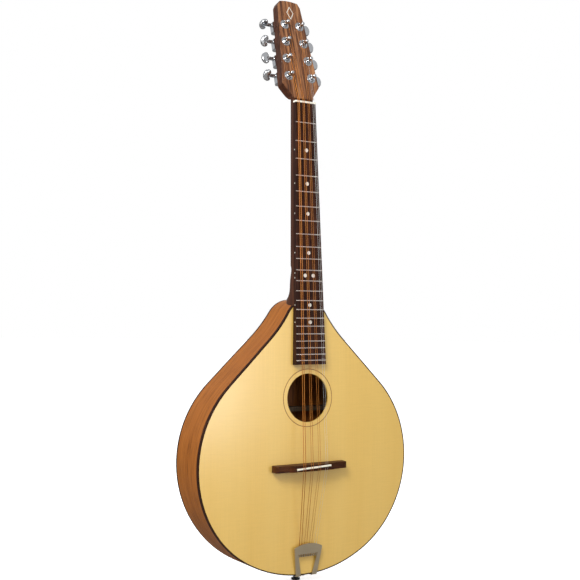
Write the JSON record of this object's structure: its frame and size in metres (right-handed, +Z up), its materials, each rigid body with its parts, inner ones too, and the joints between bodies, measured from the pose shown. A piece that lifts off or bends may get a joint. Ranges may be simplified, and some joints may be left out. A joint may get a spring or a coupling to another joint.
{
  "type": "bouzouki",
  "caption": "Flat-topped teardrop bouzouki with a fretted neck, floating bridge, tailpiece and turning enclosed tuners on an angled headstock.",
  "frame": {"origin": "where the strap button seats on the tail end, on the centreline of the body", "axes": "+Z up the centreline to the headstock, -Y out of the soundboard (the front), +X to the treble side"},
  "size_m": [0.4124, 0.121, 1.0029],
  "materials": {
    "spruce_top": "clear satin lacquer, fine straight grain",
    "mahogany_body": "satin lacquer, ribbon figure",
    "mahogany_neck": "satin lacquer, dark reddish brown",
    "rosewood": "oiled",
    "striped_veneer": "satin lacquer, dark stripes",
    "dark_binding": "satin lacquer",
    "inner_wood": "unfinished",
    "bone": "polished bone",
    "pearl": "polished shell",
    "fret_metal": "polished nickel alloy",
    "chrome": "polished",
    "satin_nickel": "satin",
    "steel": "zinc plated",
    "bronze_wire": "bronze wound",
    "plain_wire": "tinned steel",
    "black_plastic": "moulded"
  },
  "bodies": {
    "root": {"back_binding": "dark_binding", "back_braces": "inner_wood", "back_lining": "inner_wood", "back_plate": "mahogany_body", "bridge": "rosewood", "fretboard": "rosewood", "fretboard_wedge": "rosewood", "frets": "fret_metal", "headstock_inlay": "pearl", "headstock_veneer": "striped_veneer", "neck": "mahogany_neck", "neck_block": "inner_wood", "nut": "bone", "position_dots": "pearl", "rib_bass": "mahogany_body", "rib_treble": "mahogany_body", "rosette": "dark_binding", "saddle": "bone", "side_dots": "pearl", "soundboard": "spruce_top", "strap_button": "black_plastic", "strap_button_screw": "steel", "strings_plain": "plain_wire", "strings_wound": "bronze_wire", "tail_block": "inner_wood", "tailpiece": "satin_nickel", "tailpiece_screws": "steel", "top_binding": "dark_binding", "top_braces": "inner_wood", "top_lining": "inner_wood", "truss_rod": "steel", "tuner_bushings": "chrome", "tuner_housings": "chrome", "tuner_screws": "chrome", "tuner_washers": "chrome"},
    "truss_rod_nut": {"truss_rod_nut": "steel"},
    "tuner_key_1": {"tuner_knob_1": "chrome", "worm_shaft_1": "steel"},
    "post_1": {"string_post_1": "chrome"},
    "tuner_key_2": {"tuner_knob_2": "chrome", "worm_shaft_2": "steel"},
    "post_2": {"string_post_2": "chrome"},
    "tuner_key_3": {"tuner_knob_3": "chrome", "worm_shaft_3": "steel"},
    "post_3": {"string_post_3": "chrome"},
    "tuner_key_4": {"tuner_knob_4": "chrome", "worm_shaft_4": "steel"},
    "post_4": {"string_post_4": "chrome"},
    "tuner_key_5": {"tuner_knob_5": "chrome", "worm_shaft_5": "steel"},
    "post_5": {"string_post_5": "chrome"},
    "tuner_key_6": {"tuner_knob_6": "chrome", "worm_shaft_6": "steel"},
    "post_6": {"string_post_6": "chrome"},
    "tuner_key_7": {"tuner_knob_7": "chrome", "worm_shaft_7": "steel"},
    "post_7": {"string_post_7": "chrome"},
    "tuner_key_8": {"tuner_knob_8": "chrome", "worm_shaft_8": "steel"},
    "post_8": {"string_post_8": "chrome"}
  },
  "joints": [
    {"name": "tuner_key_1_turn", "type": "hinge", "parent": "root", "child": "tuner_key_1", "pos_m": [-0.0228, 0.02637, 0.84815], "axis": [-1, 0, 0], "continuous": true},
    {"name": "post_1_turn", "type": "hinge", "parent": "root", "child": "post_1", "pos_m": [-0.0228, 0.0192, 0.84138], "axis": [0, -0.9603, 0.279], "continuous": true},
    {"name": "tuner_key_2_turn", "type": "hinge", "parent": "root", "child": "tuner_key_2", "pos_m": [-0.0213, 0.03563, 0.88003], "axis": [-1, 0, 0], "continuous": true},
    {"name": "post_2_turn", "type": "hinge", "parent": "root", "child": "post_2", "pos_m": [-0.0213, 0.02846, 0.87326], "axis": [0, -0.9603, 0.279], "continuous": true},
    {"name": "tuner_key_3_turn", "type": "hinge", "parent": "root", "child": "tuner_key_3", "pos_m": [-0.0179, 0.0449, 0.91191], "axis": [-1, 0, 0], "continuous": true},
    {"name": "post_3_turn", "type": "hinge", "parent": "root", "child": "post_3", "pos_m": [-0.0179, 0.03772, 0.90514], "axis": [0, -0.9603, 0.279], "continuous": true},
    {"name": "tuner_key_4_turn", "type": "hinge", "parent": "root", "child": "tuner_key_4", "pos_m": [-0.0151, 0.05416, 0.9438], "axis": [-1, 0, 0], "continuous": true},
    {"name": "post_4_turn", "type": "hinge", "parent": "root", "child": "post_4", "pos_m": [-0.0151, 0.04699, 0.93703], "axis": [0, -0.9603, 0.279], "continuous": true},
    {"name": "tuner_key_5_turn", "type": "hinge", "parent": "root", "child": "tuner_key_5", "pos_m": [0.0228, 0.02637, 0.84815], "axis": [1, 0, 0], "continuous": true},
    {"name": "post_5_turn", "type": "hinge", "parent": "root", "child": "post_5", "pos_m": [0.0228, 0.0192, 0.84138], "axis": [0, -0.9603, 0.279], "continuous": true},
    {"name": "tuner_key_6_turn", "type": "hinge", "parent": "root", "child": "tuner_key_6", "pos_m": [0.0213, 0.03563, 0.88003], "axis": [1, 0, 0], "continuous": true},
    {"name": "post_6_turn", "type": "hinge", "parent": "root", "child": "post_6", "pos_m": [0.0213, 0.02846, 0.87326], "axis": [0, -0.9603, 0.279], "continuous": true},
    {"name": "tuner_key_7_turn", "type": "hinge", "parent": "root", "child": "tuner_key_7", "pos_m": [0.0179, 0.0449, 0.91191], "axis": [1, 0, 0], "continuous": true},
    {"name": "post_7_turn", "type": "hinge", "parent": "root", "child": "post_7", "pos_m": [0.0179, 0.03772, 0.90514], "axis": [0, -0.9603, 0.279], "continuous": true},
    {"name": "tuner_key_8_turn", "type": "hinge", "parent": "root", "child": "tuner_key_8", "pos_m": [0.0151, 0.05416, 0.9438], "axis": [1, 0, 0], "continuous": true},
    {"name": "post_8_turn", "type": "hinge", "parent": "root", "child": "post_8", "pos_m": [0.0151, 0.04699, 0.93703], "axis": [0, -0.9603, 0.279], "continuous": true},
    {"name": "truss_rod_nut_turn", "type": "hinge", "parent": "root", "child": "truss_rod_nut", "pos_m": [0, -0.02057, 0.39761], "axis": [0, -0.0477, -0.9989], "range_deg": [-180, 180]}
  ],
  "couplings": [
    {"joint": "post_1_turn", "follows": "tuner_key_1_turn", "ratio": 0.071429},
    {"joint": "post_2_turn", "follows": "tuner_key_2_turn", "ratio": 0.071429},
    {"joint": "post_3_turn", "follows": "tuner_key_3_turn", "ratio": 0.071429},
    {"joint": "post_4_turn", "follows": "tuner_key_4_turn", "ratio": 0.071429},
    {"joint": "post_5_turn", "follows": "tuner_key_5_turn", "ratio": -0.071429},
    {"joint": "post_6_turn", "follows": "tuner_key_6_turn", "ratio": -0.071429},
    {"joint": "post_7_turn", "follows": "tuner_key_7_turn", "ratio": -0.071429},
    {"joint": "post_8_turn", "follows": "tuner_key_8_turn", "ratio": -0.071429}
  ]
}
